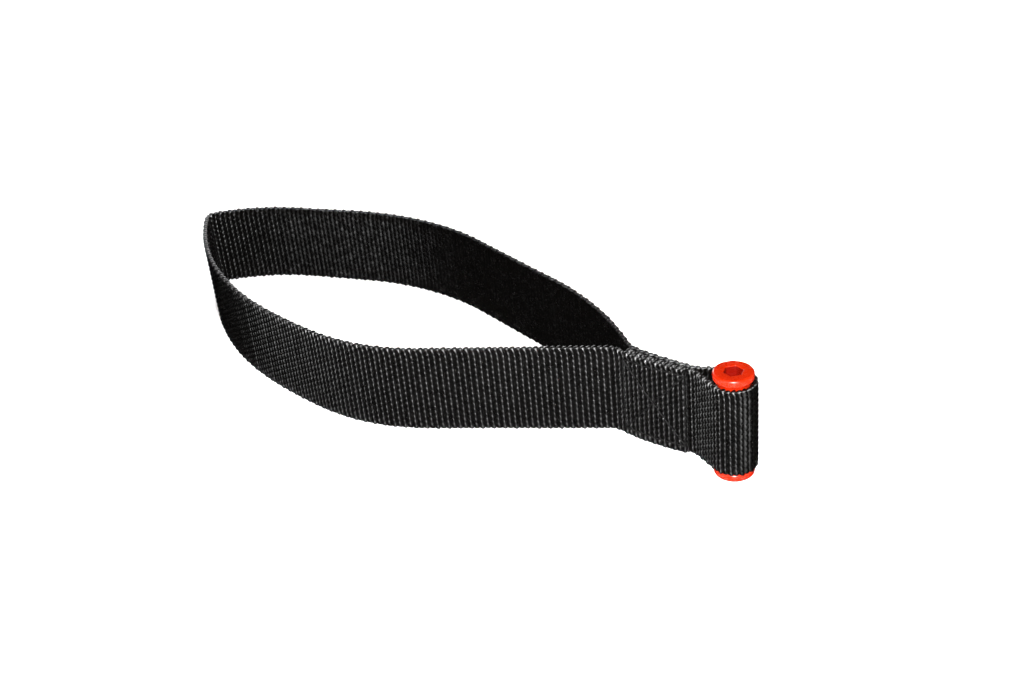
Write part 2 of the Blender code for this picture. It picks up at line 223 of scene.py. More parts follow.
FLOOR_SHADE_SCALE = 9.0
FLOOR_SIZE = 60.0

# ---- camera ----
CAMERA_PLACE = (0.0318, -0.5087, 0.3012)
CAMERA_PITCH = 29.29
CAMERA_ROLL = -5.63
CAMERA_LENS = 48.36
CAMERA_SENSOR = 36.0
CAMERA_SHIFT = (-0.0144, -0.0102)
CAMERA_NEAR = 0.01

# ---- lights: each lamp's place, target, size and power ----
KEY_LIGHT = ((0.05, -0.40, 0.25), (0.02, -0.02, 0.02), 0.04, 5.2)
FILL_LIGHT = ((-0.42, -0.26, 0.26), (0.04, -0.06, 0.02), 0.16, 0.26)
REAR_LIGHT = ((-0.10, 0.55, 0.16), (0.0, 0.0, 0.02), 0.10, 1.6)
OVERHEAD_STRENGTH = 3.5
OVERHEAD_SPREAD = 50.0
SURROUND_STRENGTH = 0.01
SURROUND_SEEN = 1.0
WHITE = (1.0, 1.0, 1.0, 1.0)

rng = np.random.default_rng(UNEVEN_SEED)
UNEVEN = rng.normal(size=UNEVEN_RIBS)


# ---- plan paths: a start point, a start heading and (length, turn) pieces ----

def step(point, heading, length, turn):
    if abs(turn) < STRAIGHT_TURN:
        return (point[0] + length * cos(heading), point[1] + length * sin(heading))
    radius = length / turn
    return (point[0] + radius * (sin(heading + turn) - sin(heading)),
            point[1] + radius * (cos(heading) - cos(heading + turn)))


def arc(radius, turn):
    return (radius * abs(radians(turn)), turn)


def path_length(path):
    return sum(length for length, turn in path[2])


def plan_at(path, travel):
    """Plan point and heading (radians) after some travel."""
    point, heading = path[0], radians(path[1])
    for length, turn in path[2]:
        bend = radians(turn)
        if travel <= length:
            share = travel / length if length else 0.0
            return step(point, heading, travel, bend * share), heading + bend * share
        point = step(point, heading, length, bend)
        heading += bend
        travel -= length
    return step(point, heading, travel, 0.0), heading


def side_point(path, travel, lateral):
    (x, y), heading = plan_at(path, travel)
    return (x - lateral * sin(heading), y + lateral * cos(heading))


def joint_point(name):
    x, y, _ = JOINTS[name]["pos_m"]
    return (x, y)


def front_ply_path():
    turn = TAB_HEADING - (FRONT_HEADING - 180.0)
    return (joint_point("loop_open"), FRONT_HEADING - 180.0, (arc(FORK_R, turn),) + TAB_PIECES)


def fork_arc_length():
    return front_ply_path()[2][0][0]


def tab_ply(number):
    """The line of a ply from the fork to the crease: 0 front, 1 middle, 2 back."""
    lateral = number * PLY_PITCH
    start = side_point(front_ply_path(), fork_arc_length(), lateral)
    pieces = tuple((length - lateral * radians(turn), turn) for length, turn in TAB_PIECES)
    return (start, TAB_HEADING, pieces)


def back_ply_path():
    ply = tab_ply(2)
    fillet = arc(BACK_PLY_FILLET_R, TAB_HEADING - RIGHT_HEADING)
    first = (ply[2][0][0] - BACK_PLY_JOIN, ply[2][0][1])
    return (joint_point("fork_right"), RIGHT_HEADING, (fillet, first) + ply[2][1:])


def tangent_to_sleeve(point, side):
    """Heading and length of the straight from a point on to the sleeve's round."""
    centre = joint_point("spool_turn")
    dx, dy = centre[0] - point[0], centre[1] - point[1]
    reach = hypot(dx, dy)
    heading = degrees(atan2(dy, dx) + side * asin(SLEEVE_R / reach))
    return heading, sqrt(reach ** 2 - SLEEVE_R ** 2)


def sleeve_path():
    """From the middle ply's end at the crease round the spool to the back ply's end."""
    middle, back = tab_ply(1), tab_ply(2)
    front_start, _ = plan_at(middle, path_length(middle))
    back_start, _ = plan_at(back, path_length(back))
    heading_in, length_in = tangent_to_sleeve(front_start, -1)
    heading_out, length_out = tangent_to_sleeve(back_start, 1)
    wrap = heading_out + 180.0 - heading_in
    return (front_start, heading_in, ((length_in, 0.0), arc(SLEEVE_R, wrap), (length_out, 0.0)))


def loop_path():
    """The loop; its two long straights are solved so that it closes on the fork."""
    def pieces(front_straight, right_straight):
        return ((front_straight, 0.0), arc(*FRONT_BEND), arc(*LEFT_SWEEPS[0]), arc(*LEFT_SWEEPS[1]),
                arc(*TIGHT_BEND), arc(*BACK_SWEEP), (BACK_STRAIGHT, 0.0), arc(*BACK_BEND),
                arc(*RIGHT_SWEEP), (right_straight, 0.0), arc(*FORK_SWEEP))
    start, goal = joint_point("loop_open"), joint_point("fork_right")
    slack = (start, FRONT_HEADING, pieces(0.0, 0.0))
    open_end, _ = plan_at(slack, path_length(slack))
    gx, gy = goal[0] - open_end[0], goal[1] - open_end[1]
    ax, ay = cos(radians(FRONT_HEADING)), sin(radians(FRONT_HEADING))
    last = radians(RIGHT_HEADING - FORK_SWEEP[1])
    bx, by = cos(last), sin(last)
    det = ax * by - ay * bx
    return (start, FRONT_HEADING, pieces((gx * by - gy * bx) / det, (ax * gy - ay * gx) / det))


# ---- the strap as one traced line ----

def trace(path, band, rib, start=0.0, stop=None, backwards=False):
    """Rows of x, y, lower edge, width and rib pitch at even steps along a path."""
    stop = path_length(path) if stop is None else stop
    travels = np.linspace(start, stop, max(2, round((stop - start) / TRACE_STEP)))
    rows = []
    for travel in travels:
        x, y = plan_at(path, travel)[0]
        base, width = band(travel)
        rows.append((x, y, base, width, rib))
    return np.array(rows[::-1] if backwards else rows)


def tab_length():
    return sum(length for length, turn in TAB_PIECES)


def rising_band(offset):
    """Webbing that rises and narrows from the fork to the sleeve's round."""
    reach = tab_length() + sleeve_path()[2][0][0]

    def band(travel):
        share = min(1.0, max(0.0, (travel + offset) / reach))
        return SLEEVE_BASE * share, WEB_WIDTH + (SLEEVE_WIDTH - WEB_WIDTH) * share
    return band


def sleeve_band(travel):
    nearest_end = min(travel, path_length(sleeve_path()) - travel)
    return rising_band(tab_length())(nearest_end)


def flat_band(travel):
    return 0.0, WEB_WIDTH


def soften(rows):
    """Rounds the line's kinks with a moving average that keeps both ends."""
    reach = round(SOFTEN / TRACE_STEP / 2)
    before = 2 * rows[:1] - rows[reach:0:-1]
    after = 2 * rows[-1:] - rows[-2:-reach - 2:-1]
    padded = np.concatenate([before, rows, after])
    window = np.hanning(2 * reach + 3)[1:-1]
    window /= window.sum()
    return np.stack([np.convolve(column, window, "valid") for column in padded.T], axis=1)


class Strap:
    """The whole strap as arrays over travel, with lookups by travel and by rib count."""

    def __init__(self):
        front, middle, back = front_ply_path(), tab_ply(1), back_ply_path()
        parts = [
            trace(front, rising_band(-fork_arc_length()), TAB_RIB,
                  stop=path_length(front) - FRONT_END_INSET, backwards=True),
            trace(loop_path(), flat_band, LOOP_RIB),
            trace(back, rising_band(-back[2][0][0]), TAB_RIB),
            trace(sleeve_path(), sleeve_band, SLEEVE_RIB, backwards=True),
            trace(middle, rising_band(0.0), TAB_RIB, start=MIDDLE_END_INSET, backwards=True),
        ]
        rows = np.concatenate(parts)
        moved = np.hypot(*np.diff(rows[:, :2], axis=0).T)
        keep = np.concatenate([[True], moved > TRACE_STEP / 10])
        self.rows = soften(rows[keep])
        steps = np.hypot(*np.diff(self.rows[:, :2], axis=0).T)
        self.travel = np.concatenate([[0.0], np.cumsum(steps)])
        middle_rib = (self.rows[1:, 4] + self.rows[:-1, 4]) / 2
        self.ribs = np.concatenate([[0.0], np.cumsum(steps / middle_rib)])
        tangent = np.gradient(self.rows[:, :2], axis=0)
        tangent /= np.hypot(tangent[:, 0], tangent[:, 1])[:, None]
        self.tangent = tangent

    def at(self, travel):
        """Plan points, unit tangents, lower edges, widths and rib pitches at some travels."""
        def pick(column):
            return np.interp(travel, self.travel, column)
        point = np.stack([pick(self.rows[:, 0]), pick(self.rows[:, 1])], axis=-1)
        along = np.stack([pick(self.tangent[:, 0]), pick(self.tangent[:, 1])], axis=-1)
        along /= np.linalg.norm(along, axis=-1)[..., None]
        return point, along, pick(self.rows[:, 2]), pick(self.rows[:, 3]), pick(self.rows[:, 4])

    def nearest(self, point, after=0.0, before=None):
        """Travel of the strap's point nearest a plan point, within a stretch."""
        before = self.travel[-1] if before is None else before
        away = np.hypot(self.rows[:, 0] - point[0], self.rows[:, 1] - point[1])
        away[(self.travel < after) | (self.travel > before)] = np.inf
        return self.travel[int(np.argmin(away))]

    def rib_at(self, travel):
        return float(np.interp(travel, self.travel, self.ribs))

    def travel_at_rib(self, count):
        return np.interp(count, self.ribs, self.travel)


# ---- weave ----

def cross_section():
    """Points round the band: side (-1 to 1), height share (0 to 1) and the edges' rounding (-1 to 1)."""
    shares = np.linspace(0.0, 1.0, FACE_ROWS)
    angles = np.linspace(0.0, pi, EDGE_ROWS + 2)[1:-1]
    face = np.ones(FACE_ROWS)
    side = np.concatenate([face, np.cos(angles), -face, -np.cos(angles)])
    share = np.concatenate([shares, np.ones(EDGE_ROWS), shares[::-1], np.zeros(EDGE_ROWS)])
    bulge = np.concatenate([0 * face, np.sin(angles), 0 * face, -np.sin(angles)])
    return side, share, bulge


def weave(count, share, height, side, band_width):
    """Depth below the crests and slide along the strap (in ribs) of points of the woven surface."""
    rib = np.floor(count + COUNT_SLACK)
    across = 2 * np.clip(count - rib, 0.0, 1.0) ** RIB_LEAN - 1
    foot = sqrt(RIB_ARC ** 2 - 1)
    ridge = (np.sqrt(RIB_ARC ** 2 - across ** 2) - foot) / (RIB_ARC - foot)
    crown = np.abs(np.cos(pi * (share * CROWNS + rib / 2 + (side < 0) / 2))) ** CROWN_ROUNDNESS
    depth = RIB_DEPTH * (1 - ridge) + CROWN_DEPTH * (1 - crown) * ridge
    depth = depth + UNEVEN_DEPTH * ridge * UNEVEN[rib.astype(int) % len(UNEVEN)]
    top = np.clip((height - band_width + HOOK_REACH) / HOOK_REACH, 0.0, HOOK_LIMIT)
    bottom = np.clip((HOOK_REACH - height) / HOOK_REACH, 0.0, HOOK_LIMIT)
    slide = CROWN_SLIDE * (2 * crown - 1) * ridge + TOP_HOOK * top ** 2 + BOTTOM_HOOK * bottom ** 2
    return depth, slide


def distance_to_segment(s, z, a, b):
    ax, az = a
    dx, dz = b[0] - ax, b[1] - az
    share = np.clip(((s - ax) * dx + (z - az) * dz) / (dx * dx + dz * dz), 0.0, 1.0)
    return np.hypot(s - ax - share * dx, z - az - share * dz)


def seam_lines():
    """Seam segments on the tab face: ends as travel from the fork fillet and height."""
    low, high = BOX_INSET, WEB_WIDTH - BOX_INSET
    corners = ((BOX_START, low), (BOX_END, low), (BOX_END, high), (BOX_START, high))
    box = [(corners[i], corners[(i + 1) % 4]) for i in range(4)]
    return box + [(corners[0], corners[2]), (corners[3], corners[1])]


def seam_press(s, z):
    """How far the stitching pulls the webbing in."""
    away = np.full(np.shape(s), np.inf)
    for a, b in seam_lines():
        away = np.minimum(away, distance_to_segment(s, z, a, b))
    return SEAM_PRESS * np.exp(-(away / SEAM_HALF_WIDTH) ** 2)


def skin(name, grid, mat):
    """A closed mesh over rings of points; each ring closes on itself and the two ends are capped."""
    rings, around = grid.shape[:2]
    index = np.arange(rings * around).reshape(rings, around)
    following = np.roll(index, -1, axis=1)
    quads = np.stack([index[:-1], following[:-1], following[1:], index[1:]], axis=-1).reshape(-1, 4)
    faces = quads.tolist()
    faces.append(index[0][::-1].tolist())
    faces.append(index[-1].tolist())
    mesh = bpy.data.meshes.new(name)
    mesh.from_pydata(grid.reshape(-1, 3).tolist(), [], faces)
    mesh.materials.append(mat)
    mesh.shade_smooth()
    sharpen_ends(mesh, around)
    face_outwards(mesh)
    obj = bpy.data.objects.new(name, mesh)
    bpy.context.scene.collection.objects.link(obj)
    return obj


def edge_ends(mesh):
    """The two vertices of every edge."""
    ends = np.empty(len(mesh.edges) * 2, dtype=np.int32)
    mesh.edges.foreach_get("vertices", ends)
    return ends.reshape(-1, 2)


def sharpen_ends(mesh, around):
    """Marks the edges of both end caps sharp, so that the caps don't shade the skin."""
    ends = edge_ends(mesh)
    at_cap = (ends < around).all(axis=1) | (ends >= len(mesh.vertices) - around).all(axis=1)
    layer = mesh.attributes.new("sharp_edge", "BOOLEAN", "EDGE")
    layer.data.foreach_set("value", at_cap)


def sharpen_grooves(mesh, around):
    """Marks every groove between two ribs sharp."""
    ring = edge_ends(mesh) // around
    layer = mesh.attributes["sharp_edge"]
    sharp = np.empty(len(mesh.edges), dtype=bool)
    layer.data.foreach_get("value", sharp)
    groove = (ring[:, 0] == ring[:, 1]) & (ring[:, 0] % len(RIB_STATIONS) == 0)
    layer.data.foreach_set("value", sharp | groove)


def face_outwards(mesh):
    """Flips a closed mesh whose faces point inwards."""
    mesh.calc_loop_triangles()
    corners = np.empty(len(mesh.loop_triangles) * 3, dtype=np.int32)
    mesh.loop_triangles.foreach_get("vertices", corners)
    points = np.empty(len(mesh.vertices) * 3, dtype=np.float32)
    mesh.vertices.foreach_get("co", points)
    points = points.reshape(-1, 3).astype(float)
    a, b, c = (points[corners[i::3]] for i in range(3))
    if (a * np.cross(b, c)).sum() < 0:
        mesh.flip_normals()


def woven_piece(strap, name, start, stop, mat, tab=None, tongue=False):
    """A closed piece of the strap between two travels, cut on rib grooves.

    On a ply whose outer face is stitched, tab is the travel of the fork fillet's end and the direction of
    the crease. A tongue reaches into the next piece.
    """
    first, last = round(strap.rib_at(start)), round(strap.rib_at(stop))
    counts = np.array([rib + phase for rib in range(first, last) for phase in RIB_STATIONS] + [last])
    side, share, bulge = cross_section()
    count = np.repeat(counts[:, None], len(side), axis=1)
    _, _, _, width, pitch = strap.at(strap.travel_at_rib(counts))
    height = share * (width[:, None] - 2 * EDGE_ROUND) + EDGE_ROUND
    depth, slide = weave(count, share, height, side, width[:, None])
    travel = strap.travel_at_rib(count) + slide * pitch[:, None]
    if tab:
        from_fork = (travel - tab[0]) * tab[1]
        depth = depth + seam_press(from_fork, height) * (side > 0.5)
    thin = cut_thinning(travel, strap.travel[-1])
    depth = depth + thin * (WEB_THICK / 2 - depth)
    lateral, rise = side * (WEB_THICK / 2 - depth), bulge * (EDGE_ROUND - depth)
    grid = strap_points(strap, travel, height, lateral, rise)
    if tongue:
        grid = np.concatenate([grid, tongue_rings(strap, travel[-1], height[-1], side, width[-1])])
    obj = skin(name, grid, mat)
    sharpen_grooves(obj.data, grid.shape[1])
    place = np.zeros(grid.shape)
    place[:len(counts), :, 0] = travel * PLACE_SCALE
    place[:len(counts), :, 1] = height * PLACE_SCALE
    place[:len(counts), :, 2] = side * SIDE_SCALE
    lay_place(obj.data, place.reshape(-1, 3))
    return obj


def lay_place(mesh, place):
    """Travel, height and side of every vertex, and a map whose U runs across the yarns.

    The map gives the gloss its direction.
    """
    layer = mesh.attributes.new("place", "FLOAT_VECTOR", "POINT")
    layer.data.foreach_set("vector", place.reshape(-1).astype(np.float32))
    corner = np.empty(len(mesh.loops), dtype=np.int32)
    mesh.loops.foreach_get("vertex_index", corner)
    layer = mesh.uv_layers.new(name=YARN_MAP)
    across = place[corner][:, [1, 0]] / MAP_SPAN
    layer.data.foreach_set("uv", across.reshape(-1).astype(np.float32))


def cut_thinning(travel, end):
    """How much the strap's two cut ends are melted thin, from 0 to 1."""
    away = np.minimum(travel, end - travel)
    return CUT_THIN * np.clip(1 - away / CUT_TAPER, 0.0, 1.0) ** 2


def front_ply_lift(travel):
    """The front ply is sewn slightly out of line and rises towards its cut end."""
    return CUT_LIFT * np.clip(1 - travel / CUT_LIFT_REACH, 0.0, 1.0) ** CUT_LIFT_POWER


def strap_points(strap, travel, height, lateral, rise):
    """Points at a travel, a height above the lower edge and a distance to the outer side."""
    point, along, base, width, _ = strap.at(travel)
    wave = EDGE_WAVE * np.sin(travel / LONG_WAVE) + EDGE_WAVE / 2 * np.sin(travel / SHORT_WAVE)
    x = point[..., 0] - lateral * along[..., 1]
    y = point[..., 1] + lateral * along[..., 0]
    z = base + height + rise + wave * height / width + front_ply_lift(travel)
    return np.stack([x, y, z], axis=-1)


def tongue_rings(strap, travel, height, side, width):
    """Two thin rings that reach into the next piece, so that no gap shows where the seam opens."""
    thin = side * (WEB_THICK / 2 - RIB_DEPTH - TONGUE_INSET)
    inner = width / 2 + (height - width / 2) * (1 - 2 * TONGUE_INSET / width)
    ends = [strap_points(strap, travel + reach, inner, thin, 0.0) for reach in (0.0, TONGUE_REACH)]
    return np.stack(ends)


# ---- stitching ----

def tube(points, radius):
    """Rings round a line of points, as one grid; the radius is one per point."""
    points = np.asarray(points)
    tangent = np.gradient(points, axis=0)
    tangent /= np.linalg.norm(tangent, axis=1)[:, None]
    first = np.cross(tangent, NEVER_ALONG_A_STITCH)
    first /= np.linalg.norm(first, axis=1)[:, None]
    second = np.cross(tangent, first)
    angles = np.linspace(0.0, 2 * pi, STITCH_SIDES, endpoint=False)[None, :, None]
    around = np.cos(angles) * first[:, None] + np.sin(angles) * second[:, None]
    return points[:, None] + around * np.asarray(radius)[:, None, None]


def stitch(strap, a, b, tab, scale):
    """One stitch between two needle holes on the tab's outer face."""
    share = np.linspace(0.0, 1.0, STITCH_STEPS)
    from_fork = a[0] + (b[0] - a[0]) * share
    height = a[1] + (b[1] - a[1]) * share
    dip = np.abs(2 * share - 1) ** STITCH_DIP_POWER
    lateral = WEB_THICK / 2 - SEAM_PRESS + STITCH_LIFT - STITCH_SINK * dip
    travel = tab[0] + tab[1] * from_fork * scale
    points = strap_points(strap, travel, height, lateral, 0.0)
    return tube(points, STITCH_R * (1 - STITCH_TAPER * dip))


def stitching(strap, name, tab, scale, mat):
    """Every stitch of one face, as one mesh of separate closed stitches."""
    grids = []
    for a, b in seam_lines():
        ds, dz = b[0] - a[0], b[1] - a[1]
        count = round(hypot(ds, dz) / STITCH_LENGTH)
        holes = [(a[0] + ds * i / count, a[1] + dz * i / count) for i in range(count + 1)]
        wander = rng.normal(0.0, STITCH_WANDER, (count + 1, 2))
        holes = [(s + off_s, z + off_z) for (s, z), (off_s, off_z) in zip(holes, wander)]
        grids += [stitch(strap, holes[i], holes[i + 1], tab, scale) for i in range(count)]
    objs = [skin(f"{name}_{i}", grid, mat) for i, grid in enumerate(grids)]
    target = objs[0]
    target.name = name
    chosen = {"active_object": target, "selected_editable_objects": objs, "selected_objects": objs}
    with bpy.context.temp_override(**chosen):
        bpy.ops.object.join()
    target.data.name = name
    return target


# ---- spool ----

def quarter(centre_r, centre_z, radius, start, stop):
    angles = [radians(start + (stop - start) * i / ROUND_STEPS) for i in range(ROUND_STEPS + 1)]
    return [(centre_r + radius * cos(a), centre_z + radius * sin(a)) for a in angles]


def spool_profile():
    """Outer profile from the lower face's rim to the upper face's rim."""
    rim, soft = FLANGE_R - FLANGE_ROUND, BARREL_R + BARREL_FILLET
    neck_low, neck_high = FLANGE_THICK, SPOOL_HEIGHT - FLANGE_THICK
    return (quarter(rim, FLANGE_ROUND, FLANGE_ROUND, -90, 0)
            + quarter(rim, neck_low - FLANGE_ROUND, FLANGE_ROUND, 0, 90)
            + quarter(soft, neck_low + BARREL_FILLET, BARREL_FILLET, 270, 180)
            + quarter(soft, neck_high - BARREL_FILLET, BARREL_FILLET, 180, 90)
            + quarter(rim, neck_high + FLANGE_ROUND, FLANGE_ROUND, -90, 0)
            + quarter(rim, SPOOL_HEIGHT - FLANGE_ROUND, FLANGE_ROUND, 0, 90))


def hex_ring(flats, height):
    """A hexagon whose corners are slightly eased, as a ring of points."""
    centre = joint_point("spool_turn")
    points = []
    for i in range(6 * PER_HEX_SIDE):
        along = (i % PER_HEX_SIDE) / PER_HEX_SIDE * pi / 3
        sharp = flats / 2 / cos(along - pi / 6)
        radius = min(sharp, flats / 2 / cos(pi / 6) - HEX_CORNER_EASE)
        angle = radians(HEX_CORNER_ANGLE) + 2 * pi * i / (6 * PER_HEX_SIDE)
        points.append((centre[0] + radius * cos(angle), centre[1] + radius * sin(angle), height))
    return points


def round_ring(radius, height):
    centre = joint_point("spool_turn")
    angles = radians(HEX_CORNER_ANGLE) + np.linspace(0.0, 2 * pi, 6 * PER_HEX_SIDE, endpoint=False)
    return [(centre[0] + radius * cos(a), centre[1] + radius * sin(a), height) for a in angles]


def mouth_rings(top):
    """The socket's rounded lead-in, from the bore out to the end face."""
    rings = []
    for i in range(MOUTH_STEPS + 1):
        angle = pi / 2 * i / MOUTH_STEPS
        inset = HEX_MOUTH * (1 - sin(angle))
        spread = 2 * HEX_MOUTH * (1 - cos(angle))
        rings.append(hex_ring(HEX_FLATS + spread, SPOOL_HEIGHT - inset if top else inset))
    return rings


def build_spool(mat):
    rings = mouth_rings(top=False)
    rings += [round_ring(radius, height) for radius, height in spool_profile()]
    rings += mouth_rings(top=True)[::-1]
    grid = np.array(rings)
    count, around = grid.shape[:2]
    index = np.arange(count * around).reshape(count, around)
    loop = np.concatenate([index, index[:1]])
    following = np.roll(loop, -1, axis=1)
    quads = np.stack([loop[:-1], following[:-1], following[1:], loop[1:]], axis=-1).reshape(-1, 4)
    mesh = bpy.data.meshes.new("winding_spool")
    mesh.from_pydata(grid.reshape(-1, 3).tolist(), [], quads.tolist())
    mesh.materials.append(mat)
    mesh.shade_smooth()
    mesh.set_sharp_from_angle(angle=radians(SPOOL_SHARP_ANGLE))
    face_outwards(mesh)
    # marks the bore's rings, where the material paints shade into the socket
    in_bore = np.isin(np.arange(count), (0, count - 1))
    layer = mesh.attributes.new("bore", "FLOAT", "POINT")
    layer.data.foreach_set("value", np.repeat(in_bore, around))
    obj = bpy.data.objects.new("winding_spool", mesh)
    bpy.context.scene.collection.objects.link(obj)
    return obj


# ---- materials ----

class Nodes:
    """A short way to write a node material."""

    def __init__(self, name):
        self.mat = bpy.data.materials.new(name)
        self.mat.use_nodes = True
        self.tree = self.mat.node_tree
        self.shader = self.tree.nodes["Principled BSDF"]

    def add(self, kind, inputs=None, **settings):
        node = self.tree.nodes.new(kind)
        for key, value in settings.items():
            setattr(node, key, value)
        for key, value in (inputs or {}).items():
            self.put(node.inputs[key], value)
        return node

    def put(self, socket, value):
        if isinstance(value, bpy.types.NodeSocket):
            self.tree.links.new(value, socket)
        else:
            socket.default_value = value

    def set(self, **values):
        for key, value in values.items():
            self.put(self.shader.inputs[key.replace("_", " ")], value)

    def scaled(self, vector, scale):
        return self.add("ShaderNodeVectorMath", {0: vector, 1: scale}, operation="MULTIPLY").outputs[0]

    def noise(self, vector, scale, detail=3.0):
        inputs = {"Vector": vector, "Scale": scale, "Detail": detail}
        return self.add("ShaderNodeTexNoise", inputs).outputs[0]

    def grain(self, vector, stretch, scale, detail):
        return self.noise(self.scaled(vector, stretch), scale, detail)

    def maths(self, operation, *values):
        return self.add("ShaderNodeMath", dict(enumerate(values)), operation=operation).outputs[0]

    def between(self, value, low, high):
        return self.add("ShaderNodeMapRange", {
            "Value": value, "From Min": NOISE_RANGE[0], "From Max": NOISE_RANGE[1],
            "To Min": low, "To Max": high}).outputs[0]

    def blend_colours(self, share, first, second):
        node = self.add("ShaderNodeMix", data_type="RGBA")
        self.put(node.inputs["Factor"], share)
        self.put(node.inputs["A"], first)
        self.put(node.inputs["B"], second)
        return node.outputs["Result"]

    def bump(self, height, distance, normal=None):
        node = self.add("ShaderNodeBump", {"Height": height, "Distance": distance, "Strength": 1.0})
        if normal:
            self.put(node.inputs["Normal"], normal)
        return node.outputs[0]


def webbing_material():
    """Black nylon: multifilament yarn lying along the strap, with uneven sheen."""
    n = Nodes("webbing_weave")
    place = n.add("ShaderNodeAttribute", attribute_name="place").outputs["Vector"]
    yarns = n.grain(place, *YARN_GRAIN)
    filaments = n.grain(place, *FILAMENT_GRAIN)
    patches = n.noise(place, PATCH_SCALE)
    tint = n.grain(place, *TINT_GRAIN)
    side = n.add("ShaderNodeSeparateXYZ", {0: place}).outputs[2]
    inner = n.maths("LESS_THAN", side, -FACE_SIDE)
    on_face = n.maths("GREATER_THAN", n.maths("ABSOLUTE", side), FACE_SIDE)
    edge = n.add("ShaderNodeMapRange", {"Value": on_face, "To Min": EDGE_DULL, "To Max": 0.0}).outputs[0]
    dull = n.maths("MULTIPLY_ADD", inner, INNER_DULL, edge)
    dark = n.blend_colours(n.between(yarns, 0.0, 1.0), *WEB_COLOURS)
    warm = n.blend_colours(n.between(tint, 0.0, 1.0), dark, WEB_WARM)
    n.set(Base_Color=warm, Roughness=n.maths("ADD", n.between(patches, *WEB_ROUGHNESS), dull))
    n.shader.inputs["Specular IOR Level"].default_value = WEB_SPECULAR
    n.shader.inputs["Anisotropic"].default_value = WEB_ANISOTROPY
    n.set(Tangent=n.add("ShaderNodeTangent", direction_type="UV_MAP", uv_map=YARN_MAP).outputs[0])
    n.set(Normal=n.bump(filaments, FILAMENT_BUMP, n.bump(yarns, YARN_BUMP)))
    return n.mat


def thread_material():
    """Bonded black thread with a fine twist."""
    n = Nodes("sewing_thread")
    where = n.add("ShaderNodeTexCoord").outputs["Object"]
    wave = {"Vector": where, "Scale": TWIST_SCALE, "Distortion": TWIST_DISTORTION}
    twist = n.add("ShaderNodeTexWave", wave).outputs["Fac"]
    shade = n.noise(where, THREAD_SHADE_SCALE)
    n.set(Base_Color=n.blend_colours(shade, *THREAD_COLOURS), Roughness=n.between(shade, *THREAD_ROUGHNESS))
    n.shader.inputs["Specular IOR Level"].default_value = THREAD_SPECULAR
    n.set(Normal=n.bump(twist, TWIST_BUMP))
    return n.mat


def spool_material():
    """Glossy moulded plastic with orange peel, flow marks and scuffs, and painted shade darkening the
    socket.
    """
    n = Nodes("spool_gloss")
    where = n.add("ShaderNodeTexCoord").outputs["Object"]
    flow = n.noise(where, FLOW_SCALE)
    bore = n.add("ShaderNodeAttribute", attribute_name="bore").outputs["Fac"]
    peel = n.noise(where, PEEL_SCALE, PEEL_DETAIL)
    scuffs = n.grain(where, *SCUFF_GRAIN)
    face = n.blend_colours(n.between(flow, 0.0, 1.0), *SPOOL_COLOURS)
    # painted shade: the bore's colour is darkened to stand in for the shade in the socket
    n.set(Base_Color=n.blend_colours(bore, face, BORE_SHADE_COLOUR))
    n.set(Roughness=n.between(scuffs, *SPOOL_ROUGHNESS))
    n.shader.inputs["Specular IOR Level"].default_value = SPOOL_SPECULAR
    n.shader.inputs["Subsurface Weight"].default_value = SPOOL_SUBSURFACE
    n.shader.inputs["Subsurface Radius"].default_value = SPOOL_SUBSURFACE_RADIUS
    n.shader.inputs["Subsurface Scale"].default_value = 1.0
    n.set(Normal=n.bump(peel, PEEL_BUMP))
    return n.mat


def floor_material():
    n = Nodes("pale_floor")
    where = n.add("ShaderNodeTexCoord").outputs["Object"]
    shade = n.noise(where, FLOOR_SHADE_SCALE)
    n.set(Base_Color=n.blend_colours(shade, *FLOOR_COLOURS), Roughness=FLOOR_ROUGHNESS)
    n.shader.inputs["Specular IOR Level"].default_value = FLOOR_SPECULAR
    return n.mat


# ---- assembly ----


def bend_across(strap, obj, bodies, mark, before, after):
    """Bakes a piece's transform into its mesh; the piece is not bent, and the bodies and the points before
    and after the joint's travel are not used.
    """
    start, _ = strap.at(np.array(mark - before))[:2]
    end, _ = strap.at(np.array(mark + after))[:2]
    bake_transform(obj)


def seam_point():
    """The loop's open seam, on the straight of its back run."""
    loop = loop_path()
    back_start = sum(length for length, turn in loop[2][:PIECES_BEFORE_BACK_STRAIGHT])
    return plan_at(loop, back_start + SEAM_SHARE * BACK_STRAIGHT)[0]


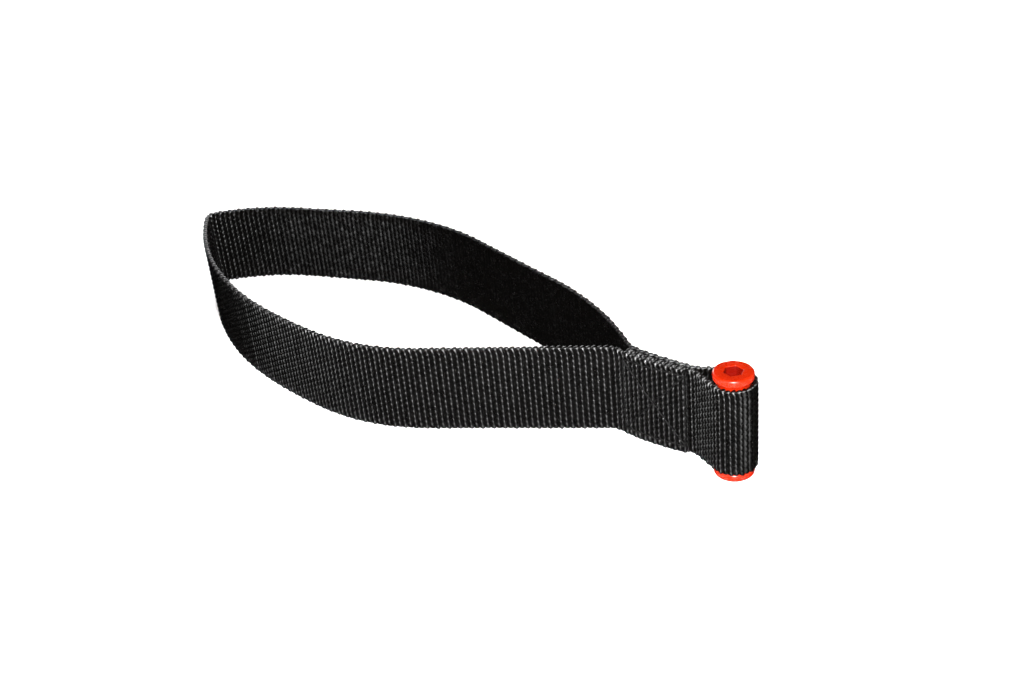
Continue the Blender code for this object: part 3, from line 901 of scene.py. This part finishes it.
def build_strap(mat, thread_mat):
    """The strap in seven pieces, each spanning one joint, and the stitching of both tab faces."""
    strap = Strap()
    end = strap.travel[-1]
    fork_front = strap.nearest(joint_point("loop_open"), before=FORK_SEARCH)
    front_bend = strap.nearest(joint_point("front_bend"))
    tip = strap.nearest(joint_point("tip_bend"))
    seam = strap.nearest(seam_point())
    back_bend = strap.nearest(joint_point("back_bend"))
    fork_right = strap.nearest(joint_point("fork_right"), after=back_bend + FORK_SEARCH)
    spool = np.array(joint_point("spool_turn"))
    crease = np.array(joint_point("crease_swing"))
    outward = (spool - crease) / np.linalg.norm(spool - crease)
    apex = strap.nearest(spool + outward * SLEEVE_R, after=fork_right)
    crease_back = strap.nearest(crease, after=fork_right, before=apex)
    crease_middle = strap.nearest(crease, after=apex)
    tab_middle = (fork_right + crease_back) / 2

    front_tab = (strap.nearest(tab_ply(0)[0], before=FORK_SEARCH), -1)
    back_tab = (strap.nearest(tab_ply(2)[0], after=fork_right - FORK_SEARCH / 4, before=apex), 1)
    back_scale = path_length(tab_ply(2)) / path_length(tab_ply(0))
    middle_left, middle_right = (front_bend + tip) / 2, (back_bend + fork_right) / 2
    middle_front = (fork_front + front_bend) / 2

    rows = (
        ("web_fork_front", 0.0, middle_front, ("tab", "front_run"), fork_front, FORK_FRONT_REACH,
         ("strap_tab_front_ply", "strap_front_run"), front_tab, False),
        ("web_front_bend", middle_front, middle_left, ("front_run", "left_run"), front_bend, LOOP_REACH,
         ("strap_left_run",), None, False),
        ("web_tip", middle_left, seam, ("left_run", "back_run_left"), tip, TIP_REACH,
         ("strap_back_run_left",), None, True),
        ("web_back_bend", seam, middle_right, ("back_run_right", "right_run"), back_bend, LOOP_REACH,
         ("strap_back_run_right",), None, False),
        ("web_fork_right", middle_right, tab_middle, ("right_run", "tab"), fork_right, FORK_RIGHT_REACH,
         ("strap_right_run",), back_tab, False),
        ("web_sleeve_back", tab_middle, apex, ("tab", "sleeve"), crease_back, CREASE_BACK_REACH,
         ("strap_tab_back_ply", "strap_sleeve"), back_tab, False),
        ("web_sleeve_front", apex, end, ("sleeve", "tab"), crease_middle, CREASE_MIDDLE_REACH,
         ("strap_tab_middle_ply",), None, False),
    )
    for name, start, stop, bodies, mark, reach, nodes, tab, tongue in rows:
        obj = woven_piece(strap, name, start, stop, mat, tab, tongue)
        bend_across(strap, obj, bodies, mark, *reach)
        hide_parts(*nodes)

    front = stitching(strap, "stitching_front", front_tab, 1.0, thread_mat)
    back = stitching(strap, "stitching_back", back_tab, back_scale, thread_mat)
    for obj, nodes in ((front, ("thread_box_front", "thread_cross_front")),
                       (back, ("thread_box_back", "thread_cross_back"))):
        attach(obj, "tab")
        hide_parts(*nodes)


def build_stage():
    bpy.ops.mesh.primitive_plane_add(size=FLOOR_SIZE, location=(0.0, 0.0, 0.0))
    floor = bpy.context.object
    floor.name = "floor"
    floor.data.materials.append(floor_material())
    return floor


def area_light(name, place, target, size, power):
    light = bpy.data.lights.new(name, "AREA")
    light.shape = "DISK"
    light.size = size
    light.energy = power
    obj = bpy.data.objects.new(name, light)
    obj.location = place
    obj.rotation_euler = (Vector(target) - Vector(place)).to_track_quat("-Z", "Y").to_euler()
    bpy.context.scene.collection.objects.link(obj)


def build_surround():
    """An even surround, dim where it lights the object and white where it is seen behind it."""
    world = bpy.data.worlds.new("surround")
    world.use_nodes = True
    nodes, links = world.node_tree.nodes, world.node_tree.links
    dim, seen = nodes["Background"], nodes.new("ShaderNodeBackground")
    for background, strength in ((dim, SURROUND_STRENGTH), (seen, SURROUND_SEEN)):
        background.inputs["Color"].default_value = WHITE
        background.inputs["Strength"].default_value = strength
    mix = nodes.new("ShaderNodeMixShader")
    links.new(nodes.new("ShaderNodeLightPath").outputs["Is Camera Ray"], mix.inputs[0])
    links.new(dim.outputs[0], mix.inputs[1])
    links.new(seen.outputs[0], mix.inputs[2])
    links.new(mix.outputs[0], nodes["World Output"].inputs["Surface"])
    bpy.context.scene.world = world


def build_lights(floor):
    """A small key lamp near the camera, a dim fill from the left, one behind, and a soft sun on the floor.

    The sun lights only the floor, which keeps it white, and the floor isn't seen in any gloss.
    """
    area_light("key", *KEY_LIGHT)
    area_light("fill", *FILL_LIGHT)
    area_light("rear", *REAR_LIGHT)
    sun = bpy.data.lights.new("overhead", "SUN")
    sun.energy = OVERHEAD_STRENGTH
    sun.angle = radians(OVERHEAD_SPREAD)
    obj = bpy.data.objects.new("overhead", sun)
    bpy.context.scene.collection.objects.link(obj)
    lit = bpy.data.collections.new("floor_only")
    lit.objects.link(floor)
    obj.light_linking.receiver_collection = lit
    floor.visible_glossy = False
    build_surround()
    bpy.context.scene.view_settings.view_transform = "Standard"


def build_camera():
    """A level camera that looks along +Y, pitched down and rolled."""
    pitch, roll = radians(CAMERA_PITCH), radians(CAMERA_ROLL)
    ahead = Vector((0.0, cos(pitch), -sin(pitch)))
    level = Vector((1.0, 0.0, 0.0))
    above = level.cross(ahead)
    right = level * cos(roll) + above * sin(roll)
    up = above * cos(roll) - level * sin(roll)
    data = bpy.data.cameras.new("camera")
    data.lens = CAMERA_LENS
    data.sensor_width = CAMERA_SENSOR
    data.shift_x, data.shift_y = CAMERA_SHIFT
    data.clip_start = CAMERA_NEAR
    obj = bpy.data.objects.new("camera", data)
    turn = Matrix((right, up, -ahead)).transposed().to_4x4()
    obj.matrix_world = Matrix.Translation(CAMERA_PLACE) @ turn
    bpy.context.scene.collection.objects.link(obj)
    bpy.context.scene.camera = obj


build_strap(webbing_material(), thread_material())
spool = build_spool(spool_material())
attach(spool, "spool")
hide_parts("spool")
build_lights(build_stage())
build_camera()
